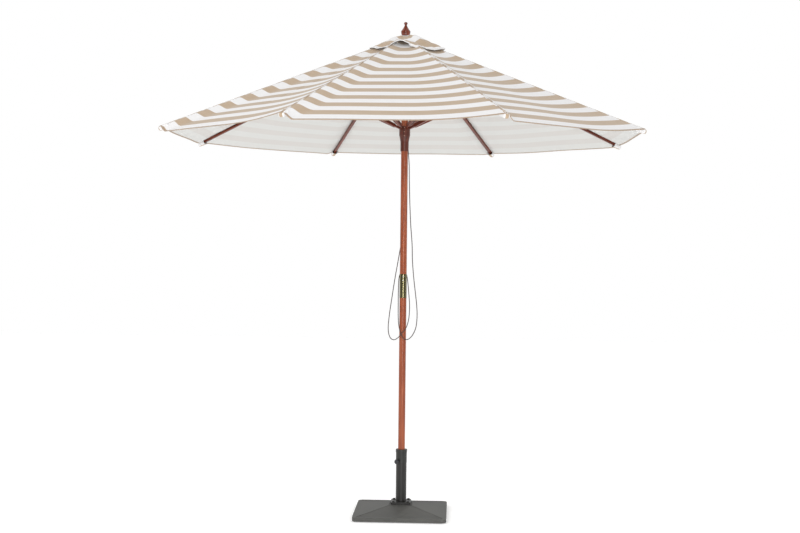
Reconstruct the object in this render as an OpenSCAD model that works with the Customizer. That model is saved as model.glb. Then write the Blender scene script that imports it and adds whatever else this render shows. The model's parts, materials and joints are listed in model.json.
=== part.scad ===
// Patio umbrella with a square base.
// An eight-rib wooden market parasol that folds on a sliding runner, on a two-piece pole.
// Millimetres, +Z up, the pole's axis is the Z axis and the base stands on Z = 0.
// Rib 1 is front left and the others follow anticlockwise, seen from above.

/* [Base] */
// side of the square base plate
plate_side = 505; // [380:1:640]
// height of the plate's upright rim
plate_rim = 21; // [15:0.5:40]
// corner radius of the plate
plate_corner = 26; // [10:1:45]
// width of the flat step inside the rim
plate_step = 16; // [8:0.5:30]
// rise from the step to the flange
plate_rise = 35; // [10:0.5:40]
// height of the feet under the plate
foot_height = 4; // [2:0.5:10]
// diameter of a foot
foot_dia = 42; // [25:1:60]
// distance of a foot's middle from the plate's edge
foot_inset = 60; // [45:1:90]
// width of a corner ridge
ridge_width = 9; // [8:0.5:25]
// side of the square flange under the tube
flange_side = 110; // [90:1:150]
// thickness of the flange
flange_thick = 12; // [6:0.5:18]
// diameter of a flange bolt
bolt_dia = 8; // [6:0.5:10]
// distance of a bolt's middle from the flange's edge
bolt_inset = 15; // [12:0.5:20]
// height of the base tube above the flange
tube_height = 274; // [200:1:420]
// wall of the base tube
tube_wall = 2.6; // [1.5:0.1:4]
// gap between the pole and the inside of the tube
tube_gap = 7.6; // [3:0.1:9]
// length of the collar's sleeve outside the tube
sleeve_length = 62; // [40:1:90]
// wall of the collar's sleeve
sleeve_wall = 1; // [1:0.1:3]
// height of the collar's rim above the tube
rim_height = 11; // [6:0.5:20]
// how far the rim stands proud of the sleeve
rim_proud = 1.4; // [0.5:0.1:4]
// diameter of the clamp screw
screw_dia = 8; // [6:0.5:12]
// distance of the clamp screw below the collar's top
screw_drop = 65; // [45:1:75]
// direction that the clamp screw points to
screw_azimuth = 236; // [180:1:270]
// how far the boss round the clamp screw stands proud of the sleeve
boss_proud = 5; // [3:0.5:9]
// diameter of the clamp screw's knob
knob_dia = 25; // [18:0.5:34]
// thickness of the clamp screw's knob
knob_height = 9; // [6:0.5:14]

/* [Pole] */
// diameter of the wooden pole
pole_dia = 38; // [30:0.5:50]
// height of the joint between the two halves of the pole
joint_z = 1258; // [1000:1:1500]
// length of the metal ferrule
ferrule_length = 132; // [80:1:180]
// distance between the ferrule's two screws
screw_pitch = 20; // [12:1:40]
// wall of the ferrule
ferrule_wall = 0.8; // [0.6:0.1:2]
// radial clearance of each sliding or turning fit
fit = 0.08; // [0.03:0.01:0.1]
// play between pieces that only pass each other
play = 0.5; // [0.3:0.1:1]

/* [Frame] */
// height of the rib pivots in the top hub
hub_z = 2612; // [2100:1:3100]
// distance from the pole's surface to the rib and strut pivots
pivot_gap = 8; // [7.5:0.5:12]
// slope of an open rib below the horizontal
rib_slope = 22.3; // [15:0.1:28]
// distance from a rib's pivot to its strut pin
link = 589; // [420:1:680]
// radius of the canopy's corners
canopy_radius = 1350; // [1100:1:1650]
// width of a rib
rib_width = 15; // [11:0.5:18]
// depth of a rib
rib_depth = 21; // [14:0.5:22]
// depth of a rib at its tip
rib_tip = 14; // [8:0.5:18]
// width of a strut
strut_width = 14; // [10:0.5:16]
// depth of a strut
strut_depth = 18; // [12:0.5:20]
// width of the tongues that turn in the hub and the runner
tongue_width = 9; // [6:0.5:10]
// depth of the tongues
tongue_depth = 10; // [8:0.5:11]
// diameter of the hub and runner pins
ring_pin = 3; // [2:0.5:4]
// diameter of a strut pin
strut_pin = 5; // [4:0.5:6]
// distance from a rib's middle to its strut pin
pin_drop = 20; // [18:0.5:24]
// sheet thickness of a strut bracket
bracket_sheet = 2.2; // [1.5:0.1:2.5]
// height of the hub above its pivots, and below them
hub_half = 16; // [14:0.5:24]
// wood outside the hub's pivots
hub_rim = 13; // [11:0.5:18]
// how far the runner's flange stands outside its pivots
flange_proud = 3.5; // [3:0.5:8]
// height of the runner above its pivots
runner_rise = 9; // [8:0.5:20]
// distance between two of the runner's nails
nail_pitch = 22; // [12:1:30]
// length of the runner
runner_length = 136; // [100:1:170]
// wall of the runner's neck
neck_wall = 2.7; // [2.2:0.1:8]
// distance from the pole's surface to the cord's holes in the runner
cord_gap = 7.2; // [7:0.1:9]
// diameter of the cord's sheave
sheave_dia = 26; // [20:0.5:30]
// width of the sheave
sheave_width = 9; // [6:0.5:11]
// diameter of the sheave's axle
sheave_axle = 6; // [4:0.5:8]

/* [Canopy] */
// thickness of the canopy cloth
cloth = 1.6; // [1:0.1:4]
// how far the hem hangs below the corners between two ribs
hem_sag = 24; // [0:1:60]
// radius of the open top of the main canopy
vent_hole = 130; // [90:1:180]
// radius of the vent cap
vent_radius = 215; // [180:1:280]
// gap between the vent cap's edge and the main canopy
vent_gap = 10; // [4:1:20]
// height of the spacer between the hub and the vent cap
spacer_height = 10; // [8:1:60]
// height of the finial
finial_height = 75; // [50:1:110]
// greatest diameter of the finial
finial_dia = 53; // [44:1:70]
// diameter of the pull cord
cord_dia = 4.6; // [4:0.1:6]

/* [Output] */
// node to show

/* [Hidden] */
$fn = 48;
wood = "#A8624A";
darkWood = "#6B2C1C";
white = "#EFEFEC";
beige = "#C4AD94";
grey = "#565654";
tubeGrey = "#3A3935";
brassy = "#B9A368";
steel = "#A9A9A6";
cordBrown = "#6A5A56";

poleR = pole_dia / 2;
tubeInR = poleR + tube_gap;
tubeR = tubeInR + tube_wall;
sleeveR = tubeR + sleeve_wall;
plateTop = foot_height + plate_rim + plate_rise;
flangeTop = plateTop + flange_thick;
tubeTop = flangeTop + tube_height;
collarTop = tubeTop + rim_height;
screwZ = collarTop - screw_drop;
bossR = sleeveR + boss_proud;
ferruleR = poleR + ferrule_wall;
ferruleTop = joint_z + ferrule_length / 2;
screwTop = ferruleTop - 14;
runnerBore = ferruleR + play;
pivotRing = poleR + pivot_gap;
hubTop = hub_z + hub_half;
hubR = pivotRing + hub_rim;
flangeR = pivotRing + flange_proud;
neckR = runnerBore + neck_wall;
cordRing = poleR + cord_gap;
poleSeat = flangeTop + 3;
stubR = 9;
tongueR = tongue_depth / 2 + 0.5;
slotHalf = tongue_width / 2 + play;
slotIn = pivotRing - tongueR - play;
pinHalf = slotHalf + 3;
full = 45;
ribHalf = rib_depth / 2;
ribEnd = (canopy_radius - pivotRing) / cos(rib_slope) - 6;
pinAngle = asin(pin_drop / link);
linkSlope = rib_slope + pinAngle;
runnerZ = hub_z - 2 * link * sin(linkSlope);
runnerTop = runnerZ + runner_rise;
pinOutR = pivotRing + link * cos(linkSlope);
pinOutZ = hub_z - link * sin(linkSlope);
crossSlope = (tan(rib_slope) * canopy_radius * (1 - pow(cos(22.5), 2)) + hem_sag) / (canopy_radius * cos(22.5) * sin(22.5));
clothGap = 0.4 + crossSlope * rib_width / 2;
clothAxisZ = hub_z + clothGap / cos(rib_slope) + ribHalf / cos(rib_slope);
clothSlope = tan(rib_slope);
apexZ = clothAxisZ + pivotRing * clothSlope;
cornerZ = apexZ - canopy_radius * clothSlope;
midR = canopy_radius * cos(22.5);
hemZ = cornerZ - hem_sag;
ventZ = hubTop + spacer_height;
ventEdgeZ = apexZ - vent_radius * clothSlope + cloth + vent_gap;
finialZ = ventZ + 3;
sheaveZ = hub_z - 90;
slotWidth = sheave_width + 3;
axleLength = slotWidth + 6;

// the pull cord's route, from the runner's hole at the back right to the one at the back
cordRoute = [
    [18.5, 18.5, 2095], [18.5, 18.5, 2060], [21, 16, 1998], [26, 12, 1930], [28, 10, 1840],
    [32, 8, 1720], [38, 6, 1600], [47, 3, 1490], [50, 1, 1400], [58, -2, 1305],
    [69, -6, 1215], [77, -10, 1145], [79, -14, 1085], [73, -17, 1030], [56, -20, 990],
    [33, -22, 966], [12, -24, 966], [-7, -24, 990], [-20, -18, 1035], [-25, -10, 1090],
    [-26, -3, 1160], [-26, 2, 1240], [-23, 10, 1305], [-10, 22.5, 1338], [9, 22.5, 1338],
    [22, 12, 1302], [31, 0, 1225], [37, -9, 1145], [33, -17, 1075], [18, -26, 1025],
    [-3, -30, 1000], [-24, -26, 974], [-48, -16, 961], [-70, -7, 975], [-80, -2, 1020],
    [-75, 2, 1095], [-62, 6, 1190], [-46, 11, 1300], [-31, 16, 1390], [-16, 22, 1485],
    [-4, 25, 1590], [0, 25.5, 1760], [0, 26, 1940], [0, 26.2, 2060], [0, 26.2, 2095]
];

ids = [for (k = [1 : 8]) str(k)];

function azimuth(k) = -112.5 + 45 * (k - 1);
function polar(r, a, z) = [r * cos(a), r * sin(a), z];

module ring(outer, inner, height) {
    difference() {
        cylinder(r = outer, h = height);
        translate([0, 0, -1]) cylinder(r = inner, h = height + 2);
    }
}

module roundedSquare(side, corner) {
    half = side / 2 - corner;
    for (x = [-half, half], y = [-half, half]) translate([x, y]) circle(r = corner);
    square([side, 2 * half], center = true);
    square([2 * half, side], center = true);
}

// places its children at a rib, with X outwards from the pivot at the given height
module atPivot(k, z) {
    rotate([0, 0, azimuth(k)]) translate([pivotRing, 0, z]) children();
}

module crossPin(dia, length) {
    rotate([90, 0, 0]) cylinder(d = dia, h = length, center = true);
}

module base_feet() {
    spot = plate_side / 2 - foot_inset;
    color(tubeGrey) for (x = [-spot, spot], y = [-spot, spot])
        translate([x, y, 0]) cylinder(d = foot_dia, h = foot_height);
}

module base_plate() {
    inner = plate_side - 2 * plate_step;
    color(grey) translate([0, 0, foot_height]) {
        linear_extrude(plate_rim) roundedSquare(plate_side, plate_corner);
        hull() {
            translate([0, 0, plate_rim - 1]) linear_extrude(1)
                roundedSquare(inner, plate_corner - 6, $fn = 24);
            translate([0, 0, plate_rim + plate_rise - 1])
                linear_extrude(1) square(flange_side + 8, center = true);
        }
        for (a = [45 : 90 : 315]) rotate([0, 0, a]) hull() {
            translate([inner / sqrt(2) - 14, 0, plate_rim])
                cylinder(d = ridge_width, h = 4, center = true, $fn = 16);
            translate([flange_side / sqrt(2) + 6, 0, plate_rim + plate_rise - 6])
                cylinder(d = ridge_width, h = 6, $fn = 16);
        }
    }
}

module base_tube() {
    color(tubeGrey) difference() {
        union() {
            translate([0, 0, plateTop]) linear_extrude(flange_thick)
                roundedSquare(flange_side, 8);
            translate([0, 0, flangeTop - 1]) ring(tubeR, tubeInR, tube_height + 1);
            translate([0, 0, flangeTop - 1]) cylinder(r = tubeInR + 0.5, h = poleSeat - flangeTop + 1);
        }
        translate([0, 0, screwZ]) rotate([0, 90, screw_azimuth])
            cylinder(r = screw_dia / 2 + play, h = 3 * tubeR);
    }
}

module base_bolts() {
    spot = flange_side / 2 - bolt_inset;
    color(steel) for (x = [-spot, spot], y = [-spot, spot]) translate([x, y, flangeTop]) {
        ring(bolt_dia, bolt_dia / 2 - 0.5, 1.5);
        translate([0, 0, 1.5]) cylinder(d = 1.7 * bolt_dia, h = 0.6 * bolt_dia, $fn = 6);
        cylinder(d = bolt_dia - 1, h = 2);
    }
}

module base_collar() {
    sleeveZ = tubeTop - sleeve_length;
    color("#4B4F48") difference() {
        union() {
            translate([0, 0, sleeveZ]) ring(sleeveR, tubeR, sleeve_length);
            translate([0, 0, tubeTop]) cylinder(r = sleeveR, h = rim_height);
            translate([0, 0, tubeTop - 6]) ring(sleeveR + rim_proud, tubeR, 6);
            translate([0, 0, tubeTop]) cylinder(r = sleeveR + rim_proud, h = rim_height);
            translate([0, 0, sleeveZ - 8]) cylinder(r = tubeInR, h = sleeve_length + 9);
            intersection() {
                translate([0, 0, screwZ]) rotate([0, 90, screw_azimuth])
                    cylinder(r = screw_dia + 3, h = bossR);
                translate([0, 0, screwZ - 30]) ring(bossR + 9, tubeR, 60);
            }
        }
        translate([0, 0, sleeveZ - 20]) cylinder(r = poleR + fit, h = sleeve_length + 60);
        translate([0, 0, screwZ]) rotate([0, 90, screw_azimuth])
            cylinder(r = screw_dia / 2 + fit, h = 3 * tubeR);
    }
}

module clamp_screw() {
    color(tubeGrey) translate([0, 0, screwZ]) rotate([0, 90, screw_azimuth]) {
        translate([0, 0, poleR + play]) cylinder(d = screw_dia, h = bossR - poleR + 3);
        translate([0, 0, bossR + 2]) cylinder(d = screw_dia + 5, h = 4);
        translate([0, 0, bossR + 5]) difference() {
            cylinder(d = knob_dia, h = knob_height);
            for (a = [0 : 45 : 315]) rotate([0, 0, a])
                translate([knob_dia / 2 + 2, 0, -1]) cylinder(d = 7, h = knob_height + 2);
        }
    }
}

module lower_pole() {
    foot = poleSeat + play;
    color(wood) translate([0, 0, foot]) cylinder(r = poleR, h = joint_z - foot);
}

module ferrule() {
    color(brassy) translate([0, 0, ferruleTop - ferrule_length])
        ring(ferruleR, poleR, ferrule_length);
}

module ferrule_screws() {
    color(steel) for (z = [screwTop, screwTop - screw_pitch])
        translate([0, -ferruleR, z]) rotate([90, 0, 0]) cylinder(d = 6, h = play / 2);
}

module upper_pole() {
    spigot = joint_z + 2;
    color(wood) difference() {
        union() {
            translate([0, 0, spigot]) cylinder(r = poleR - fit, h = ferruleTop - spigot);
            translate([0, 0, ferruleTop]) cylinder(r = poleR, h = hubTop - ferruleTop);
            translate([0, 0, hubTop]) cylinder(r = stubR, h = spacer_height + 25);
        }
        translate([0, 0, sheaveZ]) cube([slotWidth, 3 * poleR, sheave_dia + 20], center = true);
        translate([0, 0, sheaveZ]) rotate([0, 90, 0])
            cylinder(d = sheave_axle, h = axleLength, center = true);
    }
}

module sheave() {
    bore = sheave_axle / 2 + fit;
    half = sheave_width / 2;
    color(steel) translate([0, 0, sheaveZ]) rotate([0, 90, 0]) rotate_extrude()
        polygon([[bore, -half], [sheave_dia / 2, -half], [sheave_dia / 2 - 4, 0],
                 [sheave_dia / 2, half], [bore, half]]);
}

module pivotSlots(z, below, above) {
    for (k = [1 : 8]) atPivot(k, z)
        translate([slotIn - pivotRing, -slotHalf, -below])
            cube([40, 2 * slotHalf, below + above]);
}

module top_hub() {
    color(wood) difference() {
        rotate_extrude() polygon([
            [poleR, hub_z - hub_half], [hubR - 5, hub_z - hub_half], [hubR, hub_z - hub_half + 4],
            [hubR, hubTop - 8], [hubR - 3, hubTop - 5], [hubR - 12, hubTop], [poleR, hubTop]]);
        pivotSlots(hub_z, 30, tongueR + 1);
        for (k = [1 : 8]) atPivot(k, hub_z) crossPin(ring_pin, 2 * pinHalf);
    }
}

module hub_pins() {
    color(steel) for (k = [1 : 8]) atPivot(k, hub_z) crossPin(ring_pin, 2 * pinHalf);
    color(steel) translate([0, 0, sheaveZ]) rotate([0, 90, 0])
        cylinder(d = sheave_axle, h = axleLength, center = true);
}

module runner() {
    low = runnerTop - runner_length;
    color(wood) difference() {
        rotate_extrude() polygon([
            [runnerBore, low], [neckR - 1.2, low], [neckR, low + 2], [neckR, low + 52],
            [flangeR - 2, runnerTop - 54], [flangeR, runnerTop - 49],
            [flangeR, runnerTop - 3], [flangeR - 2, runnerTop],
            [runnerBore, runnerTop]]);
        pivotSlots(runnerZ, tongueR + 1, 30);
        for (a = [45, 90]) rotate([0, 0, a])
            translate([cordRing, 0, runnerTop - 95]) cylinder(d = cord_dia + 1, h = 115);
        for (k = [1 : 8]) atPivot(k, runnerZ) crossPin(ring_pin, 2 * pinHalf);
    }
}

module runner_pins() {
    color(steel) for (k = [1 : 8]) atPivot(k, runnerZ) crossPin(ring_pin, 2 * pinHalf);
}

module runner_nails() {
    color("#D8CFC0") for (n = [0 : 2]) translate([0, -flangeR, runnerTop - 7 - nail_pitch * n])
        rotate([90, 0, 0]) cylinder(d1 = 6.5, d2 = 4, h = 1.5);
}

module vent_spacer() {
    color(wood) translate([0, 0, hubTop]) rotate_extrude() polygon([
        [stubR, 0], [17, 0], [19, 3], [19, spacer_height - 6], [14, spacer_height], [stubR, spacer_height]]);
}

module vent_cap() {
    shoulder = 0.62 * vent_radius;
    shoulderZ = ventZ - 0.52 * (ventZ - ventEdgeZ);
    color(beige) rotate_extrude() polygon([
        [stubR, ventZ], [24, ventZ], [shoulder, shoulderZ], [vent_radius, ventEdgeZ],
        [vent_radius, ventEdgeZ + cloth], [shoulder, shoulderZ + cloth],
        [24, ventZ + cloth], [stubR, ventZ + 3]]);
}

module finial() {
    top = finial_height;
    wide = finial_dia / 2;
    color(darkWood) translate([0, 0, finialZ]) difference() {
        rotate_extrude() polygon(concat(
            [[0, 0], [wide - 4.5, 0], [wide - 4, 3], [wide - 1, 14], [wide, 22], [wide - 1, 25]],
            [for (t = [0.1 : 0.1 : 1]) [6 + (wide - 7) * pow(1 - t, 1.35), 25 + (top - 41) * t]],
            [[6, top - 14], [9, top - 12.5], [10, top - 8], [9.2, top - 3.5], [6, top - 0.8], [0, top]]));
        translate([0, 0, -1]) cylinder(r = stubR, h = spacer_height + 26 - (finialZ - hubTop));
    }
}

module rib(k) {
    color(wood) atPivot(k, hub_z) rotate([0, rib_slope, 0]) difference() {
        union() {
            rotate([90, 0, 0]) cylinder(r = tongueR, h = tongue_width, center = true);
            translate([0, -tongue_width / 2, -tongue_depth / 2])
                cube([full + 1, tongue_width, tongue_depth]);
            rotate([90, 0, 0]) linear_extrude(rib_width, center = true) polygon([
                [full, -tongue_depth / 2], [full + 12, -ribHalf], [link + 60, -ribHalf],
                [ribEnd - 2, ribHalf - rib_tip], [ribEnd, ribHalf - rib_tip + 2],
                [ribEnd, ribHalf - 2], [ribEnd - 2, ribHalf], [full + 8, ribHalf],
                [full, tongue_depth / 2]]);
        }
        crossPin(ring_pin + 2 * fit, rib_width + 2);
    }
}

module strut_bracket(k) {
    along = link * cos(pinAngle);
    color(steel) atPivot(k, hub_z) rotate([0, rib_slope, 0]) translate([along, 0, 0]) {
        translate([-20, -rib_width / 2, -ribHalf - bracket_sheet])
            cube([40, rib_width, bracket_sheet]);
        for (s = [-1, 1]) translate([0, s * (rib_width - bracket_sheet) / 2, 0])
            rotate([90, 0, 0]) linear_extrude(bracket_sheet, center = true) {
                translate([0, -pin_drop]) circle(r = strut_pin / 2 + 4.5);
                polygon([[-16, -ribHalf - 1], [16, -ribHalf - 1], [strut_pin / 2 + 4.5, -pin_drop],
                         [-strut_pin / 2 - 4.5, -pin_drop]]);
            }
        translate([0, 0, -pin_drop]) crossPin(strut_pin, rib_width + 3);
    }
}

module strut(k) {
    topTongue = rib_width - 2 * bracket_sheet - 2 * play;
    slope = linkSlope;
    color(wood) atPivot(k, runnerZ) rotate([0, -slope, 0]) difference() {
        union() {
            rotate([90, 0, 0]) cylinder(r = tongueR, h = tongue_width, center = true);
            translate([0, -tongue_width / 2, -tongue_depth / 2])
                cube([41, tongue_width, tongue_depth]);
            rotate([90, 0, 0]) linear_extrude(strut_width, center = true) polygon([
                [30, -tongue_depth / 2], [40, -strut_depth / 2], [link - 34, -strut_depth / 2],
                [link - 25, -5.5], [link - 25, 5.5], [link - 34, strut_depth / 2],
                [40, strut_depth / 2], [30, tongue_depth / 2]]);
            translate([link - 26, -topTongue / 2, -5.5]) cube([26, topTongue, 11]);
            translate([link, 0, 0]) crossPin(12, topTongue);
        }
        crossPin(ring_pin + 2 * fit, rib_width + 2);
        translate([link, 0, 0]) crossPin(strut_pin + 2 * fit, rib_width + 2);
    }
}

// half a gore: from the rib to the middle of the gore, on the rib's left or right
module wing(k, side) {
    gap = 0.4;
    inner = vent_hole;
    a = azimuth(k);
    m = a + side * 22.5;
    shift = polar(gap, a + side * 90, 0);
    back = polar(gap, m - side * 90, 0);
    low = [
        polar(inner, a, apexZ - inner * clothSlope) + shift,
        polar(canopy_radius, a, cornerZ) + shift,
        polar(midR, m, hemZ) + back,
        polar(inner * cos(22.5), m, apexZ - (apexZ - hemZ) * inner * cos(22.5) / midR) + back];
    up = [for (p = low) p + [0, 0, cloth]];
    panel = [[0, 1, 2], [0, 2, 3], [6, 5, 4], [7, 6, 4]];
    edges = [for (i = [0 : 3], h = [0, 1]) let (j = (i + 1) % 4) h == 0 ? [i, i + 4, j + 4] : [i, j + 4, j]];
    faces = concat(panel, edges);
    color(beige) polyhedron(concat(low, up), side > 0 ? faces : [for (f = faces) [f[2], f[1], f[0]]]);
}

function unit(v) = v / norm(v);
function curve(p, i, t) =
    let (a = p[max(i - 1, 0)], b = p[i], c = p[i + 1], d = p[min(i + 2, len(p) - 1)])
    0.5 * (2 * b + (c - a) * t + (2 * a - 5 * b + 4 * c - d) * t * t + (3 * b - a - 3 * c + d) * t * t * t);
function route(p, n) = concat([for (i = [0 : len(p) - 2], j = [0 : n - 1]) curve(p, i, j / n)], [p[len(p) - 1]]);
// one direction across the path for each point, each turned as little as possible from the last
function across(path, i, last, out) =
    i == len(path) ? out :
    let (t = unit(path[min(i + 1, len(path) - 1)] - path[max(i - 1, 0)]),
         u = unit(last - t * (last * t)))
    across(path, i + 1, u, concat(out, [[u, cross(t, u)]]));

module sweep(path, dia, sides) {
    frames = across(path, 0, [1, 0, 0], []);
    points = [for (i = [0 : len(path) - 1], s = [0 : sides - 1])
        path[i] + dia / 2 * (cos(360 * s / sides) * frames[i][0] + sin(360 * s / sides) * frames[i][1])];
    n = len(path);
    polyhedron(points, concat(
        [[for (s = [0 : sides - 1]) s]],
        [for (i = [0 : n - 2], s = [0 : sides - 1])
            [i * sides + s, (i + 1) * sides + s, (i + 1) * sides + (s + 1) % sides, i * sides + (s + 1) % sides]],
        [[for (s = [sides - 1 : -1 : 0]) (n - 1) * sides + s]]));
}

module cord() {
    color(cordBrown) sweep(route(cordRoute, 2), cord_dia, 8);
}

base_feet();
base_plate();
base_tube();
base_bolts();
base_collar();
clamp_screw();
lower_pole();
ferrule();
ferrule_screws();
upper_pole();
top_hub();
hub_pins();
vent_spacer();
vent_cap();
finial();
sheave();
runner();
runner_pins();
runner_nails();
cord();
for (k = [1 : 8]) {
    rib(k);
    strut_bracket(k);
    strut(k);
    wing(k, -1);
    wing(k, 1);
}
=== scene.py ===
import json
import math

import bmesh
import bpy
from mathutils import Matrix, Vector, noise


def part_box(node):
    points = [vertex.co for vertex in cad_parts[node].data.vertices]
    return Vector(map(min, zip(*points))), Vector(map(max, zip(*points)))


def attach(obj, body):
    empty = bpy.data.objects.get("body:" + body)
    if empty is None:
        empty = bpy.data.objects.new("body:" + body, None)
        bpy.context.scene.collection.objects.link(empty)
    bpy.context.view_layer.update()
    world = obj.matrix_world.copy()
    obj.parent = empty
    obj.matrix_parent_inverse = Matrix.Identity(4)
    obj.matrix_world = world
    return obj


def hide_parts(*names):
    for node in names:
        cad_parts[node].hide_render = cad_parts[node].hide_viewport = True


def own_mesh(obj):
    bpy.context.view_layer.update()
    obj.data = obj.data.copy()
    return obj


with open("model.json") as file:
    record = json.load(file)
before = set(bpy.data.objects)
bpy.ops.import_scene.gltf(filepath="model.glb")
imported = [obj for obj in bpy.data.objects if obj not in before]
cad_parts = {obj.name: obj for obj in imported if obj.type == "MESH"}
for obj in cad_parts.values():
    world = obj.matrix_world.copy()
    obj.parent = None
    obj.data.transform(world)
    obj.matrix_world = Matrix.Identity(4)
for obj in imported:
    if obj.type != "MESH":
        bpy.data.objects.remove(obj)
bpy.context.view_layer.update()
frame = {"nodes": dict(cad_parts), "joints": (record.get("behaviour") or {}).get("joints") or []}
nodes = frame["nodes"]
joints = {joint["name"]: joint for joint in frame["joints"]}
print("frame loaded:", len(nodes), "CAD nodes")

scene = bpy.context.scene
pivotRadius = math.hypot(*joints["fold"]["pos_m"][:2])

# the camera stands in front of the base, at a standing person's eye height
view = {
    "lens": 58.28,
    "distance": 7.157,
    "height": 1.465,
    "azimuth": -87.63,
    "roll": 0.59,
    "shiftX": -0.0044,
    "shiftY": -0.0225,
}


def addCamera():
    turn = math.radians(view["azimuth"])
    spot = Vector((math.cos(turn), math.sin(turn), 0)) * view["distance"]
    spot.z = view["height"]
    data = bpy.data.cameras.new("camera")
    data.lens, data.sensor_width = view["lens"], 36
    data.shift_x, data.shift_y = view["shiftX"], view["shiftY"]
    camera = bpy.data.objects.new("camera", data)
    look = Vector((-spot.x, -spot.y, 0)).to_track_quat("-Z", "Y")
    camera.matrix_world = (
        Matrix.Translation(spot)
        @ look.to_matrix().to_4x4()
        @ Matrix.Rotation(math.radians(view["roll"]), 4, "Z")
    )
    scene.collection.objects.link(camera)
    scene.camera = camera


# each lamp has its power, its width and height, its place, and the height it points at
lights = {
    "world": 1.0,
    "surround": 0.84,
    "dimFront": {"From Min": -0.02, "From Max": -0.3},
    "dimColour": "#1E1D1A",
    "key": (90, (3.2, 3.2), (-4.6, -3.0, 5.0), 1.4),
    "fill": (24, (3.0, 3.0), (4.8, -2.4, 3.0), 1.4),
    "strip": (100, (0.6, 3.0), (0.5, -6.0, 1.6), 1.2),
}


def addLights():
    # a white studio whose front side is dark, but only in reflections
    world = bpy.data.worlds.new("studio")
    world.use_nodes = True
    tree = world.node_tree
    direction = addNode(tree, "ShaderNodeTexCoord").outputs["Generated"]
    parts = addNode(tree, "ShaderNodeSeparateXYZ", Vector=direction)
    front = addNode(tree, "ShaderNodeMapRange", lights["dimFront"], Value=parts.outputs[1])
    ray = addNode(tree, "ShaderNodeLightPath")
    dim = addNode(tree, "ShaderNodeMath", {"operation": "MULTIPLY"}, i0=front.outputs[0])
    tree.links.new(ray.outputs["Is Glossy Ray"], dim.inputs[1])
    tone = addNode(tree, "ShaderNodeMix", {"data_type": "RGBA"}, i0=dim.outputs[0])
    tone.inputs[6].default_value, tone.inputs[7].default_value = (1, 1, 1, 1), linear(lights["dimColour"])
    background = tree.nodes["Background"]
    tree.links.new(tone.outputs[2], background.inputs["Color"])
    levels = {"To Min": lights["surround"], "To Max": lights["world"]}
    strength = addNode(tree, "ShaderNodeMapRange", levels)
    tree.links.new(ray.outputs["Is Camera Ray"], strength.inputs["Value"])
    tree.links.new(strength.outputs[0], background.inputs["Strength"])
    scene.world = world
    for name in ("key", "fill", "strip"):
        power, size, place, height = lights[name]
        data = bpy.data.lights.new(name, "AREA")
        data.shape, data.energy = "RECTANGLE", power
        data.size, data.size_y = size
        lamp = bpy.data.objects.new(name, data)
        lamp.location = place
        aim = Vector((0, 0, height)) - Vector(place)
        lamp.rotation_euler = aim.to_track_quat("-Z", "Y").to_euler()
        scene.collection.objects.link(lamp)


def linear(code, alpha=1.0):
    parts = [int(code[i : i + 2], 16) / 255 for i in (1, 3, 5)]
    return (*[c / 12.92 if c <= 0.04045 else ((c + 0.055) / 1.055) ** 2.4 for c in parts], alpha)


def addNode(tree, kind, settings=None, **links):
    node = tree.nodes.new(kind)
    for key, value in (settings or {}).items():
        if hasattr(node, key):
            setattr(node, key, value)
        else:
            node.inputs[key].default_value = value
    for key, source in links.items():
        socket = node.inputs[int(key[1:])] if key[0] == "i" and key[1:].isdigit() else node.inputs[key]
        tree.links.new(source, socket)
    return node


def newMaterial(name):
    material = bpy.data.materials.new(name)
    material.use_nodes = True
    return material, material.node_tree, material.node_tree.nodes["Principled BSDF"]


def newObject(name, mesh):
    thing = bpy.data.objects.new(name, mesh)
    scene.collection.objects.link(thing)
    return thing


def meshFrom(name, points, faces, smooth=True):
    mesh = bpy.data.meshes.new(name)
    mesh.from_pydata([tuple(p) for p in points], [], faces)
    mesh.update()
    if smooth:
        mesh.shade_smooth()
    return mesh


def polar(radius, degrees, z):
    turn = math.radians(degrees)
    return Vector((radius * math.cos(turn), radius * math.sin(turn), z))


def smoothStep(t):
    t = min(max(t, 0.0), 1.0)
    return t * t * (3 - 2 * t)


def applyModifiers(thing):
    graph = bpy.context.evaluated_depsgraph_get()
    mesh = bpy.data.meshes.new_from_object(thing.evaluated_get(graph))
    thing.modifiers.clear()
    thing.data = mesh
    return thing


def setAttribute(mesh, name, values):
    layer = mesh.attributes.get(name) or mesh.attributes.new(name, "FLOAT_VECTOR", "POINT")
    layer.data.foreach_set("vector", [c for v in values for c in v])


def grainAlong(mesh, origin, along, seed=0.0):
    # gives each piece its own stretch of the grain, which runs along it
    along = Vector(along).normalized()
    side = along.cross(Vector((0.13, 0.21, 0.97) if abs(along.z) < 0.9 else (1, 0.1, 0))).normalized()
    up = along.cross(side)
    shift = Vector((seed * 3.7, seed * 0.31, seed * 0.17))
    local = [Vector(v.co) - Vector(origin) for v in mesh.vertices]
    setAttribute(mesh, "grain", [Vector((p.dot(along), p.dot(side), p.dot(up))) + shift for p in local])


# scales are in repeats per metre along and across the grain: growth bands come about 10 mm wide,
# and the pores 1.1 mm apart, which is coarser than real ones so that they show
woodGrain = {"bands": (2.2, 60, 60), "bandNoise": 1.6, "pores": (14, 900, 900), "poreDepth": 0.0004}


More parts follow.
